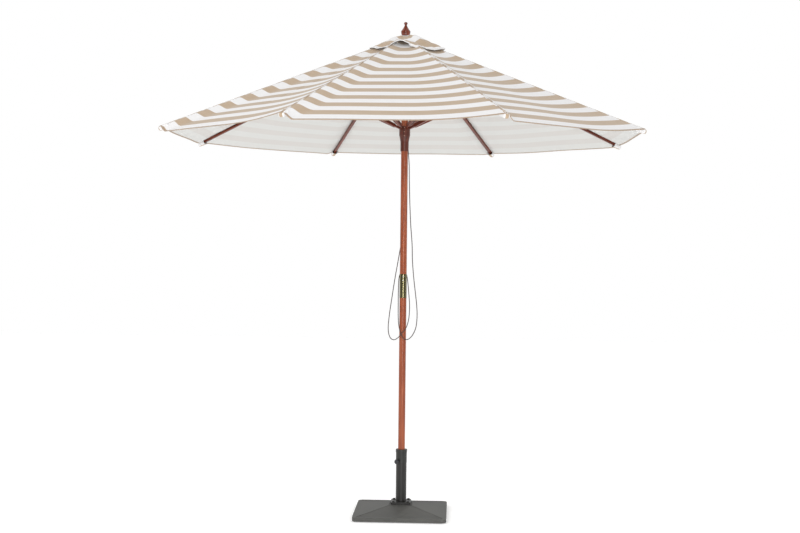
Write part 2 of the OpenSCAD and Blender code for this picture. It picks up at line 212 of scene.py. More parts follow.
def addWood(name, dark, mid, light, rough, coat):
    # varnished hardwood: fine straight grain, darker pores, a thin clear coat
    material, tree, shader = newMaterial(name)
    grain = addNode(tree, "ShaderNodeAttribute", {"attribute_name": "grain"}).outputs["Vector"]
    stretched = addNode(tree, "ShaderNodeMapping", {"Scale": woodGrain["bands"]}, Vector=grain).outputs[0]
    swirl = {"Scale": woodGrain["bandNoise"], "Detail": 6, "Roughness": 0.62, "Distortion": 0.5}
    figure = addNode(tree, "ShaderNodeTexNoise", swirl, Vector=stretched)
    fine = addNode(tree, "ShaderNodeMapping", {"Scale": woodGrain["pores"]}, Vector=grain).outputs[0]
    pores = addNode(tree, "ShaderNodeTexNoise", {"Scale": 1.0, "Detail": 3, "Roughness": 0.6}, Vector=fine)
    ramp = addNode(tree, "ShaderNodeValToRGB", Fac=figure.outputs["Fac"])
    stops = ramp.color_ramp
    stops.elements[0].position, stops.elements[0].color = 0.3, linear(dark)
    stops.elements[1].position, stops.elements[1].color = 0.72, linear(light)
    stops.elements.new(0.52).color = linear(mid)
    darkening = {"From Min": 0.36, "From Max": 0.6, "To Min": 0.72, "To Max": 1.0}
    poreRamp = addNode(tree, "ShaderNodeMapRange", darkening, Value=pores.outputs["Fac"])
    tone = addNode(tree, "ShaderNodeMix", {"data_type": "RGBA", "blend_type": "MULTIPLY"})
    tone.inputs[0].default_value = 1.0
    tree.links.new(ramp.outputs["Color"], tone.inputs[6])
    tree.links.new(poreRamp.outputs[0], tone.inputs[7])
    tree.links.new(tone.outputs[2], shader.inputs["Base Color"])
    shine = {"To Min": rough - 0.07, "To Max": rough + 0.1}
    wear = addNode(tree, "ShaderNodeMapRange", shine, Value=figure.outputs["Fac"])
    tree.links.new(wear.outputs[0], shader.inputs["Roughness"])
    depth = {"Strength": 0.25, "Distance": woodGrain["poreDepth"]}
    bump = addNode(tree, "ShaderNodeBump", depth, Height=pores.outputs["Fac"])
    tree.links.new(bump.outputs[0], shader.inputs["Normal"])
    shader.inputs["Coat Weight"].default_value = coat
    shader.inputs["Coat Roughness"].default_value = 0.16
    shader.inputs["IOR"].default_value = 1.5
    shader.inputs["Specular IOR Level"].default_value = 0.3
    return material


# stripe and thread sizes are in metres; the thread is drawn about twice as coarse as real
# thread, so that it shows, and the slubs are in repeats per metre along and across the thread
cloth = {
    "beige": "#B8A38B",
    "beigeDeep": "#AB957C",
    "white": "#E4E3E3",
    # the underside's colours are painted: a greyer white, and stripes paled by light shining through
    "under": "#D6D6D3",
    "underStripe": "#D1CECA",
    "binding": "#A8937E",
    "period": 0.1061,
    "beigeCentre": 1.1555,
    "beigeShare": 0.5,
    "thread": 0.0011,
    "slubs": (9, 420, 1),
}
waveRepeat = 0.314  # how far apart the Wave Texture's bands are at scale 1


def stripeMask(tree, coords, centre, period, share, soft=0.0012):
    # 1 on the beige stripes and 0 on the white ones, from the distance down the cloth
    parts = addNode(tree, "ShaderNodeSeparateXYZ", Vector=coords)
    start = addNode(tree, "ShaderNodeMath", {"operation": "SUBTRACT"}, i0=parts.outputs[1])
    start.inputs[1].default_value = centre - period / 2
    turn = addNode(tree, "ShaderNodeMath", {"operation": "DIVIDE"}, i0=start.outputs[0])
    turn.inputs[1].default_value = period
    part = addNode(tree, "ShaderNodeMath", {"operation": "FRACT"}, i0=turn.outputs[0])
    away = addNode(tree, "ShaderNodeMath", {"operation": "SUBTRACT"}, i0=part.outputs[0])
    away.inputs[1].default_value = 0.5
    size = addNode(tree, "ShaderNodeMath", {"operation": "ABSOLUTE"}, i0=away.outputs[0])
    half, blur = share / 2, soft / period
    fade = {"From Min": half - blur, "From Max": half + blur, "To Min": 1.0, "To Max": 0.0}
    return addNode(tree, "ShaderNodeMapRange", fade, Value=size.outputs[0]).outputs[0]


def addCloth(name, beige, white, deep, centre=cloth["beigeCentre"], sheen=0.25):
    # woven acrylic awning cloth: matt, a plain weave, faint slubs along the threads
    material, tree, shader = newMaterial(name)
    coords = addNode(tree, "ShaderNodeAttribute", {"attribute_name": "weave"}).outputs["Vector"]
    mask = stripeMask(tree, coords, centre, cloth["period"], cloth["beigeShare"])
    slub = addNode(tree, "ShaderNodeMapping", {"Scale": cloth["slubs"]}, Vector=coords)
    uneven = {"Scale": 1.0, "Detail": 4, "Roughness": 0.65}
    slubNoise = addNode(tree, "ShaderNodeTexNoise", uneven, Vector=slub.outputs[0])
    beigeTone = addNode(tree, "ShaderNodeMix", {"data_type": "RGBA"})
    beigeTone.inputs[6].default_value, beigeTone.inputs[7].default_value = linear(deep), linear(beige)
    slubRange = {"From Min": 0.3, "From Max": 0.6}
    spread = addNode(tree, "ShaderNodeMapRange", slubRange, Value=slubNoise.outputs["Fac"])
    tree.links.new(spread.outputs[0], beigeTone.inputs[0])
    tone = addNode(tree, "ShaderNodeMix", {"data_type": "RGBA"})
    tone.inputs[6].default_value = linear(white)
    tree.links.new(mask, tone.inputs[0])
    tree.links.new(beigeTone.outputs[2], tone.inputs[7])
    wave = {"wave_type": "BANDS", "Scale": waveRepeat / cloth["thread"], "Distortion": 0.6, "Detail": 1}
    warp = addNode(tree, "ShaderNodeTexWave", {**wave, "bands_direction": "X"}, Vector=coords).outputs["Fac"]
    weft = addNode(tree, "ShaderNodeTexWave", {**wave, "bands_direction": "Y"}, Vector=coords).outputs["Fac"]
    weave = addNode(tree, "ShaderNodeMath", {"operation": "MULTIPLY"}, i0=warp, i1=weft)
    # the gaps between the threads are painted up to 4.5% darker: painted shade in the weave
    shade = addNode(tree, "ShaderNodeMapRange", {"To Min": 0.955, "To Max": 1.0}, Value=weave.outputs[0])
    woven = addNode(tree, "ShaderNodeMix", {"data_type": "RGBA", "blend_type": "MULTIPLY"})
    woven.inputs[0].default_value = 1.0
    tree.links.new(tone.outputs[2], woven.inputs[6])
    tree.links.new(shade.outputs[0], woven.inputs[7])
    tree.links.new(woven.outputs[2], shader.inputs["Base Color"])
    slubs = slubNoise.outputs["Fac"]
    height = addNode(tree, "ShaderNodeMath", {"operation": "ADD"}, i0=weave.outputs[0], i1=slubs)
    bump = addNode(tree, "ShaderNodeBump", {"Strength": 0.2, "Distance": 0.0005}, Height=height.outputs[0])
    tree.links.new(bump.outputs[0], shader.inputs["Normal"])
    shader.inputs["Roughness"].default_value = 0.86
    shader.inputs["Sheen Weight"].default_value = sheen
    shader.inputs["Sheen Roughness"].default_value = 0.5
    shader.inputs["Specular IOR Level"].default_value = 0.25
    return material


def addMetal(name, colour, rough, spread, marksPerMetre, stretch=(1, 1, 1)):
    # plated or polished metal: slow changes of tone and shine, from handling and weather
    material, tree, shader = newMaterial(name)
    coords = addNode(tree, "ShaderNodeTexCoord").outputs["Object"]
    turned = addNode(tree, "ShaderNodeMapping", {"Scale": stretch}, Vector=coords).outputs[0]
    cloudy = {"Scale": marksPerMetre, "Detail": 5, "Roughness": 0.6}
    marks = addNode(tree, "ShaderNodeTexNoise", cloudy, Vector=turned)
    tone = addNode(tree, "ShaderNodeMix", {"data_type": "RGBA"})
    tone.inputs[6].default_value = linear(colour[0])
    tone.inputs[7].default_value = linear(colour[1])
    tree.links.new(marks.outputs["Fac"], tone.inputs[0])
    tree.links.new(tone.outputs[2], shader.inputs["Base Color"])
    shine = {"To Min": rough - spread, "To Max": rough + spread}
    worn = addNode(tree, "ShaderNodeMapRange", shine, Value=marks.outputs["Fac"])
    tree.links.new(worn.outputs[0], shader.inputs["Roughness"])
    depth = {"Strength": 0.04, "Distance": 0.0003}
    bump = addNode(tree, "ShaderNodeBump", depth, Height=marks.outputs["Fac"])
    tree.links.new(bump.outputs[0], shader.inputs["Normal"])
    shader.inputs["Metallic"].default_value = 1.0
    return material


def addPlastic(name, colours, rough, grit, bumpSize):
    # moulded or powder-coated skin: an even grit, as wide as grit says, and hand-wide patches of dust
    material, tree, shader = newMaterial(name)
    coords = addNode(tree, "ShaderNodeTexCoord").outputs["Object"]
    dusty = {"Scale": 9, "Detail": 5, "Roughness": 0.6}
    gritty = {"Scale": 1 / grit, "Detail": 2, "Roughness": 0.5}
    patches = addNode(tree, "ShaderNodeTexNoise", dusty, Vector=coords)
    grains = addNode(tree, "ShaderNodeTexNoise", gritty, Vector=coords)
    tone = addNode(tree, "ShaderNodeValToRGB", Fac=patches.outputs["Fac"])
    tone.color_ramp.elements[0].position, tone.color_ramp.elements[0].color = 0.32, linear(colours[0])
    tone.color_ramp.elements[1].position, tone.color_ramp.elements[1].color = 0.68, linear(colours[1])
    tree.links.new(tone.outputs["Color"], shader.inputs["Base Color"])
    shine = {"To Min": rough - 0.08, "To Max": rough + 0.08}
    worn = addNode(tree, "ShaderNodeMapRange", shine, Value=patches.outputs["Fac"])
    tree.links.new(worn.outputs[0], shader.inputs["Roughness"])
    depth = {"Strength": 0.3, "Distance": bumpSize}
    bump = addNode(tree, "ShaderNodeBump", depth, Height=grains.outputs["Fac"])
    tree.links.new(bump.outputs[0], shader.inputs["Normal"])
    return material


def addBraid(name, colours, bandScale):
    # two sets of strands that cross round the cord, placed by the cord's own attribute
    material, tree, shader = newMaterial(name)
    coords = addNode(tree, "ShaderNodeAttribute", {"attribute_name": "braid"}).outputs["Vector"]
    crossed = []
    for sign in (1, -1):
        turned = addNode(tree, "ShaderNodeMapping", {"Rotation": (0, 0, sign * 0.6)}, Vector=coords)
        bands = {"wave_type": "BANDS", "bands_direction": "X", "Scale": bandScale, "Distortion": 0.3}
        wave = addNode(tree, "ShaderNodeTexWave", bands, Vector=turned.outputs[0])
        crossed.append(wave.outputs["Fac"])
    woven = addNode(tree, "ShaderNodeMath", {"operation": "MAXIMUM"}, i0=crossed[0], i1=crossed[1])
    # the strands' tops are painted paler than the grooves between them: painted light and shade
    tone = addNode(tree, "ShaderNodeMix", {"data_type": "RGBA"})
    tone.inputs[6].default_value, tone.inputs[7].default_value = linear(colours[0]), linear(colours[1])
    tree.links.new(woven.outputs[0], tone.inputs[0])
    tree.links.new(tone.outputs[2], shader.inputs["Base Color"])
    bump = addNode(tree, "ShaderNodeBump", {"Strength": 0.5, "Distance": 0.0004}, Height=woven.outputs[0])
    tree.links.new(bump.outputs[0], shader.inputs["Normal"])
    shader.inputs["Roughness"].default_value = 0.75
    return material


addCamera()
addLights()
print("camera and lights placed")

# hardwood turned round, stained and varnished: a warm red brown with a soft shine
poleWood = addWood("varnishedPoleWood", "#743018", "#9C4E2E", "#B86A44", 0.34, 0.16)
# hardwood sawn into ribs and struts, the pole's own wood, with the canopy's shade painted in as a darker
# tone: long straight grain, a low shine
ribWoodPaintedShade = addWood("ribWoodWithPaintedShade", "#42180C", "#6A2D1A", "#863F28", 0.38, 0.25)
# hub, runner and spacer turned from hardwood: the darkest brown of the wood, a soft shine
turnedWood = addWood("turnedHubWood", "#3E170B", "#5E2616", "#7A3A24", 0.34, 0.3)
# a turned knob under several coats of varnish: a small clear highlight
finialWood = addWood("darkFinialWood", "#561C0A", "#7A3016", "#944424", 0.18, 0.6)
# acrylic awning cloth, woven in stripes: matt, with no highlight
clothTop = addCloth("stripedAwningCloth", cloth["beige"], cloth["white"], cloth["beigeDeep"])
# the same cloth from below, with painted light and shade: the white greyed, and the beige stripes paled as
# light shining through the cloth leaves them, so they show only faintly
faint = cloth["underStripe"]
clothUnder = addCloth("clothUndersidePaintedLight", faint, cloth["under"], faint, sheen=0.1)
# the same cloth cut for the vent cap, where the stripes fall in another place
capTop = addCloth("capCloth", cloth["beige"], cloth["white"], cloth["beigeDeep"], centre=0.1525)
# woven edging tape: one colour, a little darker than the beige stripes
bindingCloth = addCloth("bindingTape", cloth["binding"], cloth["binding"], "#A08A74")
# spun polyester thread: a dull tan
threadFibre = addPlastic("sewingThread", ("#8E7B68", "#A08C78"), 0.7, 0.0006, 0.0001)
# drawn brass tube, polished: olive, a darker tone that is a painted reflection of dark surroundings, with
# one bright streak
brass = addMetal("polishedBrass", ("#8E8766", "#767050"), 0.2, 0.03, 40, (1, 1, 0.2))
# pressed brass sheet: yellow brown, with a broad uneven shine
bracketMetal = addMetal("pressedBrass", ("#8C7A50", "#6E5E3C"), 0.34, 0.08, 160)
# zinc-plated steel pins, screws and sheave: pale grey, with a broad uneven shine
steel = addMetal("zincPlatedSteel", ("#B4B4B0", "#94948E"), 0.3, 0.08, 260)
# copper-plated nail heads: small pinkish spots
nailMetal = addMetal("copperNailHead", ("#B48A78", "#96705E"), 0.36, 0.06, 300)
# powder-coated steel tube and bolts: near black, a fine grit, a soft shine
tubePaint = addPlastic("powderCoatedTube", ("#1A1917", "#24221F"), 0.38, 0.0009, 0.00012)
# cast resin plate: dark grey, the coarsest grit, almost matt
platePaint = addPlastic("castResinPlate", ("#444441", "#53534F"), 0.55, 0.0016, 0.00035)
# moulded polypropylene collar: near black, a soft even shine
collarPlastic = addPlastic("mouldedCollar", ("#1F201D", "#2A2A27"), 0.42, 0.0008, 0.0001)
# moulded nylon knob: dark blue grey, a soft even shine
knobPlastic = addPlastic("mouldedKnob", ("#26262A", "#34343A"), 0.4, 0.0008, 0.0001)
# moulded rubber feet: black and dull
rubber = addPlastic("rubberFoot", ("#1E1E1E", "#2A2A2A"), 0.8, 0.001, 0.0002)
# braided polyester cord: dark brown, with ridges 1.2 mm apart painted paler and the grooves between them
# darker, as painted light and shade
cordBraid = addBraid("braidedCord", ("#2A201E", "#4A3C37"), 260)
print("materials made")


# the route is the CAD's own, in metres
cordRoute = [
    (0.0185, 0.0185, 2.095), (0.0185, 0.0185, 2.060), (0.021, 0.016, 1.998), (0.026, 0.012, 1.930),
    (0.028, 0.010, 1.840), (0.032, 0.008, 1.720), (0.038, 0.006, 1.600), (0.047, 0.003, 1.490),
    (0.050, 0.001, 1.400), (0.058, -0.002, 1.305), (0.069, -0.006, 1.215), (0.077, -0.010, 1.145),
    (0.079, -0.014, 1.085), (0.073, -0.017, 1.030), (0.056, -0.020, 0.990), (0.033, -0.022, 0.966),
    (0.012, -0.024, 0.966), (-0.007, -0.024, 0.990), (-0.020, -0.018, 1.035), (-0.025, -0.010, 1.090),
    (-0.026, -0.003, 1.160), (-0.026, 0.002, 1.240), (-0.023, 0.010, 1.305), (-0.010, 0.0225, 1.338),
    (0.009, 0.0225, 1.338), (0.022, 0.012, 1.302), (0.031, 0.000, 1.225), (0.037, -0.009, 1.145),
    (0.033, -0.017, 1.075), (0.018, -0.026, 1.025), (-0.003, -0.030, 1.000), (-0.024, -0.026, 0.974),
    (-0.048, -0.016, 0.961), (-0.070, -0.007, 0.975), (-0.080, -0.002, 1.020), (-0.075, 0.002, 1.095),
    (-0.062, 0.006, 1.190), (-0.046, 0.011, 1.300), (-0.031, 0.016, 1.390), (-0.016, 0.022, 1.485),
    (-0.004, 0.025, 1.590), (0.000, 0.0255, 1.760), (0.000, 0.026, 1.940), (0.000, 0.0262, 2.060),
    (0.000, 0.0262, 2.095),
]
# heights are above the floor: the loops' lowest point, and the runner's underside when closed
cordSizes = {
    "diameter": 0.0046,
    "sides": 14,
    "steps": 7,
    "loopBottom": 0.957,
    "closedRunner": 1.300,
}


def smoothRoute(points, steps):
    # a Catmull-Rom curve through the points
    points = [Vector(p) for p in points]
    line = []
    for i in range(len(points) - 1):
        a, b = points[max(i - 1, 0)], points[i]
        c, d = points[i + 1], points[min(i + 2, len(points) - 1)]
        for j in range(steps):
            t = j / steps
            bend = (2 * a - 5 * b + 4 * c - d) * t**2 + (3 * b - a - 3 * c + d) * t**3
            line.append(0.5 * (2 * b + (c - a) * t + bend))
    return line + [points[-1]]


def sweepTube(name, line, radius, sides):
    # a round tube along a line, with the run along it and the way round it as its attribute
    points, faces, braid = [], [], []
    last, run = Vector((1, 0, 0)), 0.0
    for i, spot in enumerate(line):
        along = (line[min(i + 1, len(line) - 1)] - line[max(i - 1, 0)]).normalized()
        side = (last - along * last.dot(along)).normalized()
        over, last = along.cross(side), side
        if i:
            run += (spot - line[i - 1]).length
        for s in range(sides):
            turn = 2 * math.pi * s / sides
            points.append(spot + radius * (math.cos(turn) * side + math.sin(turn) * over))
            braid.append((run, radius * min(turn, 2 * math.pi - turn), 0))
    for i in range(len(line) - 1):
        for s in range(sides):
            e = (s + 1) % sides
            faces.append((i * sides + s, i * sides + e, (i + 1) * sides + e, (i + 1) * sides + s))
    last = (len(line) - 1) * sides
    faces.append(tuple(range(sides - 1, -1, -1)))
    faces.append(tuple(last + s for s in range(sides)))
    mesh = meshFrom(name, points, faces)
    setAttribute(mesh, "braid", braid)
    return mesh, run


def addCord():
    line = smoothRoute(cordRoute, cordSizes["steps"])
    mesh, length = sweepTube("pull_cord", line, cordSizes["diameter"] / 2, cordSizes["sides"])
    mesh.materials.append(cordBraid)
    cord = newObject("pull_cord", mesh)
    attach(cord, "upper_pole")
    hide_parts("cord")
    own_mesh(cord)
    print("cord length", round(length, 3))


addCord()


rib = joints["pleat_left_1"]
slope = -rib["axis"][2] / math.hypot(rib["axis"][0], rib["axis"][1])
apexZ = rib["pos_m"][2] + slope * math.hypot(rib["pos_m"][0], rib["pos_m"][1])
# lengths are in metres; hemShare says how much of the sag each gore keeps at its hem
canopy = {
    "radius": 1.350,
    "hole": 0.078,
    "lift": 0.0012,
    "sag": 0.030,
    "sagRun": 0.3,
    "hemSag": 0.004,
    "hemShare": [1.0, 0.95, 0.25, 0.3, 0.2, 0.35, 0.25, 0.9],
    "shareFrom": 0.5,
    "shareRun": 0.8,
    "seamHalf": 0.006,
    "creaseWidth": 0.088,
    "creaseLimit": 0.34,
    "hemCrease": 0.045,
    "hemStart": 1.18,
    "hemRun": 0.17,
    "riseShare": 0.42,
    "slack": 0.0022,
    "slackPerMetre": 3.1,
    "pucker": 0.0012,
    "puckersPerMetre": 31,
    "puckerReach": 0.07,
    "thickness": 0.0009,
    "columns": 34,
    "rows": 96,
    "hemHeight": 0.009,
    "hemThickness": 0.0026,
}


def ribAzimuth(k):
    # the ribs stand 45 degrees apart, and the first is at the front left
    return -112.5 + 45 * (k - 1)


def clothPoint(gore, across, radius):
    # a point of the cloth: across runs from the gore's left rib to its right one
    left = polar(radius, ribAzimuth(gore), 0)
    right = polar(radius, ribAzimuth(gore + 1), 0)
    spot = left.lerp(right, across)
    width = (right - left).length
    fromLeft, fromRight = across * width, (1 - across) * width
    low = smoothStep((radius - canopy["hemStart"]) / canopy["hemRun"])
    crease = canopy["creaseWidth"] + (canopy["hemCrease"] - canopy["creaseWidth"]) * low
    crease = min(crease, canopy["creaseLimit"] * width)
    fall = max(0.0, min(1.0, (fromLeft - canopy["seamHalf"]) / crease))
    fall = smoothStep(fall) * 0.75 + 0.25 * fall
    rise = max(0.0, min(1.0, (fromRight - canopy["seamHalf"]) / (canopy["riseShare"] * width)))
    rise = math.sin(rise * math.pi / 2) ** 0.9
    share = canopy["hemShare"][(gore - 1) % 8]
    deep = canopy["sag"] * (1 - math.exp(-radius / canopy["sagRun"])) + canopy["hemSag"] * low
    deep *= share + (1 - share) * (1 - smoothStep((radius - canopy["shareFrom"]) / canopy["shareRun"]))
    often = canopy["slackPerMetre"]
    place = Vector((spot.x * often, spot.y * often, gore * 1.7))
    loose = canopy["slack"] * noise.noise(place) * fall * rise
    near = (1 - smoothStep(fromLeft / canopy["puckerReach"])) * smoothStep(fromLeft / 0.015)
    pull = canopy["pucker"] * math.sin(radius * canopy["puckersPerMetre"] + gore) * near
    spot.z = apexZ - slope * radius + canopy["lift"] - deep * fall * rise + loose + pull
    return spot


def halfGore(k, side):
    # the half gore on one side of rib k, with the distance down the cloth in its weave attribute
    gore = k if side == "right" else k - 1
    cols, rows = canopy["columns"], canopy["rows"]
    points, weave = [], []
    for row in range(rows + 1):
        radius = canopy["hole"] + (canopy["radius"] - canopy["hole"]) * row / rows
        for col in range(cols + 1):
            part = (col / cols) ** 1.5 / 2  # columns crowd towards the rib, where the cloth bends
            across = part if side == "right" else 1 - part
            points.append(clothPoint(gore, across, radius))
            wide = (across - 0.5) * 2 * radius * math.sin(math.pi / 8)
            weave.append((wide, radius * math.cos(math.pi / 8), 0))
    faces = []
    for row in range(rows):
        for col in range(cols):
            a = row * (cols + 1) + col
            quad = (a, a + cols + 1, a + cols + 2, a + 1)
            faces.append(quad if side == "right" else quad[::-1])
    mesh = meshFrom(f"gore_{side}_{k}", points, faces)
    setAttribute(mesh, "weave", weave)
    return mesh, points, cols, rows


def hemTape(name, edge, inward, high=canopy["hemHeight"], start=0.3):
    # a folded tape round the cloth's lower edge, as a closed strip
    thick = canopy["hemThickness"] / 2
    points, faces, weave = [], [], []
    outline = [(1.0, 1.0), (0.92, 1.25), (0.1, 1.1), (-0.06, 0.0), (0.1, -1.1), (0.92, -1.25), (1.0, -1.0)]
    run = 0.0
    for i, spot in enumerate(edge):
        along = (edge[min(i + 1, len(edge) - 1)] - edge[max(i - 1, 0)]).normalized()
        up = (inward[i] - along * inward[i].dot(along)).normalized()
        out = along.cross(up)
        run += (spot - edge[i - 1]).length if i else 0
        for a, b in outline:
            points.append(spot + up * high * a + out * thick * b)
            weave.append((run, start + high * a, 0))
    n = len(outline)
    for i in range(len(edge) - 1):
        for s in range(n):
            e = (s + 1) % n
            faces.append((i * n + s, (i + 1) * n + s, (i + 1) * n + e, i * n + e))
    faces.append(tuple(range(n)))
    faces.append(tuple((len(edge) - 1) * n + s for s in range(n - 1, -1, -1)))
    mesh = meshFrom(name, points, faces)
    setAttribute(mesh, "weave", weave)
    fixNormals(mesh)
    return mesh


# fromEdge is a share of the hem tape's height, and lift a share of its thickness
stitch = {
    "pitch": 0.0042,
    "length": 0.0032,
    "width": 0.0007,
    "height": 0.0005,
    "fromEdge": 0.72,
    "lift": 0.62,
}


def stitchTree():
    # small blocks of thread at an even pitch along each line of the mesh it is given
    tree = bpy.data.node_groups.new("stitchRow", "GeometryNodeTree")
    tree.interface.new_socket("Line", in_out="INPUT", socket_type="NodeSocketGeometry")
    for name in ("Pitch", "Length", "Width", "Height"):
        tree.interface.new_socket(name, in_out="INPUT", socket_type="NodeSocketFloat")
    tree.interface.new_socket("Thread", in_out="INPUT", socket_type="NodeSocketMaterial")
    tree.interface.new_socket("Stitches", in_out="OUTPUT", socket_type="NodeSocketGeometry")
    given = tree.nodes.new("NodeGroupInput")
    line = addNode(tree, "GeometryNodeMeshToCurve", Mesh=given.outputs["Line"])
    spots = addNode(tree, "GeometryNodeResampleCurve", {"mode": "LENGTH"}, Curve=line.outputs[0])
    tree.links.new(given.outputs["Pitch"], spots.inputs["Length"])
    size = addNode(
        tree,
        "ShaderNodeCombineXYZ",
        X=given.outputs["Length"],
        Y=given.outputs["Width"],
        Z=given.outputs["Height"],
    )
    block = addNode(tree, "GeometryNodeMeshCube", Size=size.outputs[0])
    tangent = addNode(tree, "GeometryNodeInputTangent")
    turned = addNode(tree, "FunctionNodeAlignRotationToVector", {"axis": "X"}, Vector=tangent.outputs[0])
    placed = addNode(
        tree,
        "GeometryNodeInstanceOnPoints",
        Points=spots.outputs[0],
        Instance=block.outputs[0],
        Rotation=turned.outputs[0],
    )
    real = addNode(tree, "GeometryNodeRealizeInstances", Geometry=placed.outputs[0])
    thread = given.outputs["Thread"]
    painted = addNode(tree, "GeometryNodeSetMaterial", Geometry=real.outputs[0], Material=thread)
    made = tree.nodes.new("NodeGroupOutput")
    tree.links.new(painted.outputs[0], made.inputs["Stitches"])
    return tree


stitchRow = stitchTree()


def addStitches(name, lines, body):
    points, edges = [], []
    for line in lines:
        edges += [(len(points) + i, len(points) + i + 1) for i in range(len(line) - 1)]
        points += [tuple(p) for p in line]
    mesh = bpy.data.meshes.new(name)
    mesh.from_pydata(points, edges, [])
    piece = newObject(name, mesh)
    rows = piece.modifiers.new("stitches", "NODES")
    rows.node_group = stitchRow
    items = stitchRow.interface.items_tree
    sockets = {item.name: item.identifier for item in items if item.in_out == "INPUT"}
    for label in ("Pitch", "Length", "Width", "Height"):
        rows[sockets[label]] = stitch[label.lower()]
    rows[sockets["Thread"]] = threadFibre
    applyModifiers(piece)
    piece.data.shade_smooth()
    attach(piece, body)


def stitchLine(edge, inward, high, sign):
    # a line along a hem tape, on its outer or its inner face
    line = []
    for i, spot in enumerate(edge):
        along = (edge[min(i + 1, len(edge) - 1)] - edge[max(i - 1, 0)]).normalized()
        up = (inward[i] - along * inward[i].dot(along)).normalized()
        out = along.cross(up) * sign
        line.append(spot + up * high * stitch["fromEdge"] + out * canopy["hemThickness"] * stitch["lift"])
    return line


def fixNormals(mesh):
    shape = bmesh.new()
    shape.from_mesh(mesh)
    bmesh.ops.recalc_face_normals(shape, faces=shape.faces)
    shape.to_mesh(mesh)
    shape.free()


def thicken(thing, thickness, offset=-1.0, under=None):
    wall = thing.modifiers.new("thickness", "SOLIDIFY")
    wall.thickness, wall.offset, wall.use_even_offset = thickness, offset, True
    if under is not None:
        wall.material_offset = under
    return applyModifiers(thing)


def sewnArea(points, cols, rows):
    total = 0.0
    for row in range(rows):
        for col in range(cols):
            a, b = points[row * (cols + 1) + col], points[(row + 1) * (cols + 1) + col]
            c, d = points[(row + 1) * (cols + 1) + col + 1], points[row * (cols + 1) + col + 1]
            total += ((b - a).cross(c - a)).length / 2 + ((c - a).cross(d - a)).length / 2
    return total


def addGore(k, side):
    mesh, points, cols, rows = halfGore(k, side)
    body = f"canopy_{side}_{k}"
    mesh.materials.append(clothTop)
    mesh.materials.append(clothUnder)
    gore = newObject(mesh.name, mesh)
    thicken(gore, canopy["thickness"], under=1)
    gore.data.set_sharp_from_angle(angle=0.7)
    edge = points[-(cols + 1) :]
    above = points[-2 * (cols + 1) : -(cols + 1)]
    inward = [b - a for a, b in zip(edge, above)]
    tape = newObject(f"hem_{side}_{k}", hemTape(f"hem_{side}_{k}", edge, inward))
    tape.data.materials.append(bindingCloth)
    for piece in (gore, tape):
        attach(piece, body)
    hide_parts(body)
    rows = [stitchLine(edge, inward, canopy["hemHeight"], sign) for sign in (1, -1)]
    addStitches(f"hem_stitches_{side}_{k}", rows, body)
    area = sewnArea(points, cols, canopy["rows"])
    return area


clothArea = sum(addGore(k, side) for k in range(1, 9) for side in ("left", "right"))
print("canopy sewn, cloth area", round(clothArea, 3))


def ribFrame(k):
    # the pleat line of rib k: a point on it, its direction, across it and square to it
    joint = joints[f"pleat_left_{k}"]
    start, along = Vector(joint["pos_m"]), Vector(joint["axis"]).normalized()
    across = Vector((0, 0, 1)).cross(Vector((along.x, along.y, 0))).normalized()
    return start, along, across, along.cross(across)


# puff and wander make it uneven; sunk and stitchSunk set it and its stitches into the cloth
seam = {
    "width": 0.0105,
    "thickness": 0.0016,
    "steps": 150,
    "wander": 0.0009,
    "fineWander": 0.0005,
    "puff": 0.18,
    "puffTurns": 260,
    "sunk": 0.0012,
    "stripeShift": 0.020,
    "stitchAt": 0.62,
    "stitchHeight": 1.1,
    "stitchSunk": 0.0011,
}


def addSeam(k):
    # the felled seam over a rib: its own stripes don't quite meet those of the gores
    start, along, across, up = ribFrame(k)
    wide, thick = seam["width"] / 2, seam["thickness"]
    length = (canopy["radius"] - pivotRadius) / along.xy.length
    first = (canopy["hole"] - pivotRadius) / along.xy.length
    steps = seam["steps"]
    outline = [(-1, 0.0), (-0.86, 0.8), (-0.3, 1.2), (0.3, 1.2), (0.86, 0.8), (1, 0.0)]
    stripeShift = seam["stripeShift"] * (1 if k % 2 else -1)
    points, faces, weave = [], [], []
    for i in range(steps + 1):
        run = first + (length - first) * i / steps
        wander = seam["wander"] * math.sin(run * 17 + k) + seam["fineWander"] * math.sin(run * 53 + 2 * k)
        puff = 1 + seam["puff"] * math.sin(run * seam["puffTurns"] + k)
        base = start + along * run + across * wander + up * canopy["lift"]
        radius = pivotRadius + run * along.xy.length
        for a, b in outline:
            points.append(base + across * wide * a + up * (thick * b * puff - seam["sunk"]))
            weave.append((a * wide + k, radius * math.cos(math.pi / 8) + stripeShift, 0))
    n = len(outline)
    for i in range(steps):
        for s in range(n):
            e = (s + 1) % n
            faces.append((i * n + s, i * n + e, (i + 1) * n + e, (i + 1) * n + s))
    faces.append(tuple(range(n)))
    faces.append(tuple(steps * n + s for s in range(n - 1, -1, -1)))
    mesh = meshFrom(f"seam_{k}", points, faces)
    setAttribute(mesh, "weave", weave)
    fixNormals(mesh)
    mesh.materials.append(clothTop)
    strip = newObject(f"seam_{k}", mesh)
    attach(strip, f"rib_{k}")
    lines = []
    for sign in (-1, 1):
        high = canopy["lift"] + seam["stitchHeight"] * thick - seam["stitchSunk"]
        shift = across * wide * seam["stitchAt"] * sign + up * high
        runs = [first + (length - first) * i / steps for i in range(steps + 1)]
        lines.append([start + along * run + shift for run in runs])
    addStitches(f"seam_stitches_{k}", lines, f"rib_{k}")


# tip is the sleeve's width at its end, as a share of its width at its mouth
pocket = {
    "length": 0.05,
    "width": 0.036,
    "depth": 0.028,
    "tip": 0.74,
    "wall": 0.0014,
    "past": 0.009,
    "below": 0.0117,
    "crumple": 0.0011,
    "flare": 0.1,
    "closeFrom": 0.86,
    "stripe": 3.2,
    "rings": 14,
    "sides": 28,
}


